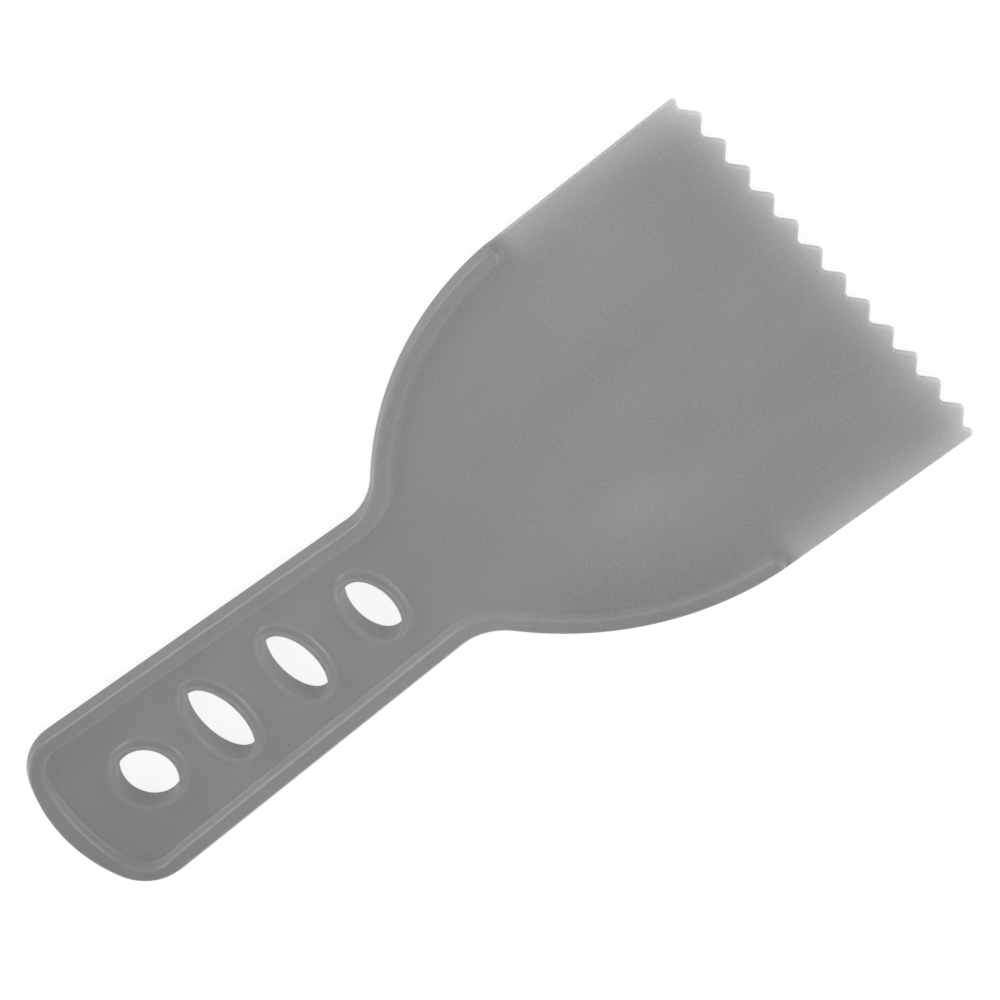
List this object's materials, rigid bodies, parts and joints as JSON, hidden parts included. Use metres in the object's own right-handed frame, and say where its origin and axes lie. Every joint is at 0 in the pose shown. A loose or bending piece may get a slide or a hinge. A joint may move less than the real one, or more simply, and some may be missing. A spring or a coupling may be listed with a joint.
{
  "type": "notched trowel",
  "caption": "Flat plastic notched trowel: V-toothed blade, raised rim round the shoulders and handle, collared oval grip holes and a round hang hole.",
  "frame": {"origin": "middle of the tool's outline, on the plane that the tool lies on", "axes": "+Y along the tool from the butt of the handle to the teeth, +X across the blade, +Z out of the upper face"},
  "size_m": [0.1, 0.2258, 0.0068],
  "materials": {
    "grey_plastic": "matte_plastic"
  },
  "bodies": {
    "root": {"moulded_spreader": "grey_plastic"}
  },
  "joints": []
}
